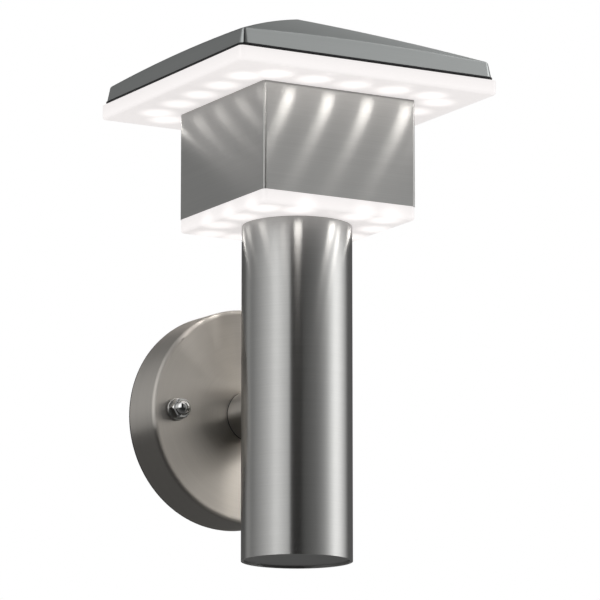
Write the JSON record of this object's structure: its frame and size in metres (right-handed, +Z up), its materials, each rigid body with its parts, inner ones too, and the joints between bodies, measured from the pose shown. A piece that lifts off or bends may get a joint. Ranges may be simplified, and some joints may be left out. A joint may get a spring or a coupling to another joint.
{
  "type": "outdoor wall light",
  "caption": "LED wall light: a spun wall plate with a short arm carries an upright brushed tube, a square box between opal light trays, and a low pyramid roof.",
  "frame": {"origin": "centre of the round wall plate, on the wall", "axes": "+Z up along the tube, +Y into the wall, +X to the right when the light is seen from the front"},
  "size_m": [0.1584, 0.1597, 0.2986],
  "materials": {
    "brushed_stainless": "brushed stainless steel: level brush lines on the tube, box and roof, circular ones on the spun wall plate",
    "polished_fasteners": "polished stainless steel",
    "opal_acrylic": "opal white acrylic with a satin surface, lit from inside by LEDs",
    "zinc_steel": "zinc-plated steel, dull and slightly blue",
    "aluminium_sheet": "plain rolled sheet",
    "white_circuit_board": "white solder mask on glass-fibre board",
    "led_package": "white package with a pale yellow phosphor window",
    "black_foam_rubber": "closed-cell foam rubber, matt black",
    "clear_silicone": "milky silicone sheet",
    "black_rubber": "matt black rubber",
    "white_plastic": "white moulded plastic with a fine grain",
    "nylon_block": "natural nylon, slightly yellow",
    "brass_screws": "plain turned brass",
    "grey_sheath": "dark grey cable sheath",
    "white_lead": "white two-core lead",
    "green_yellow_wire": "green and yellow earth wire insulation"
  },
  "bodies": {
    "root": {"wall_plate": "brushed_stainless", "stub_arm": "brushed_stainless", "main_tube": "brushed_stainless", "tube_end_cap": "brushed_stainless", "head_box": "brushed_stainless", "roof_cap": "brushed_stainless", "dome_nuts": "polished_fasteners", "stud_washers": "polished_fasteners", "upper_diffuser": "opal_acrylic", "lower_diffuser": "opal_acrylic", "wall_bracket": "zinc_steel", "bracket_studs": "zinc_steel", "arm_nipple": "zinc_steel", "arm_plate_nut": "zinc_steel", "arm_tube_nut": "zinc_steel", "arm_washer": "zinc_steel", "arm_saddle": "zinc_steel", "tube_bridge": "zinc_steel", "tube_nipple": "zinc_steel", "tube_lower_nut": "zinc_steel", "tube_upper_nut": "zinc_steel", "tube_upper_washer": "zinc_steel", "base_plate": "zinc_steel", "roof_strap": "zinc_steel", "weld_nuts": "zinc_steel", "head_spacers": "zinc_steel", "tie_screws": "zinc_steel", "lower_diffuser_screws": "zinc_steel", "upper_diffuser_screws": "zinc_steel", "carrier_plate": "aluminium_sheet", "upper_led_board": "white_circuit_board", "lower_led_board": "white_circuit_board", "upper_leds": "led_package", "lower_leds": "led_package", "wall_gasket": "black_foam_rubber", "driver_pad": "clear_silicone", "stud_seals": "black_rubber", "arm_seal": "black_rubber", "roof_seal": "black_rubber", "led_driver": "white_plastic", "board_plug": "white_plastic", "terminal_block": "nylon_block", "terminal_screws": "brass_screws", "earth_screw": "brass_screws", "supply_cable": "grey_sheath", "upper_led_lead": "white_lead", "lower_led_lead": "white_lead", "earth_wire": "green_yellow_wire"}
  },
  "joints": []
}
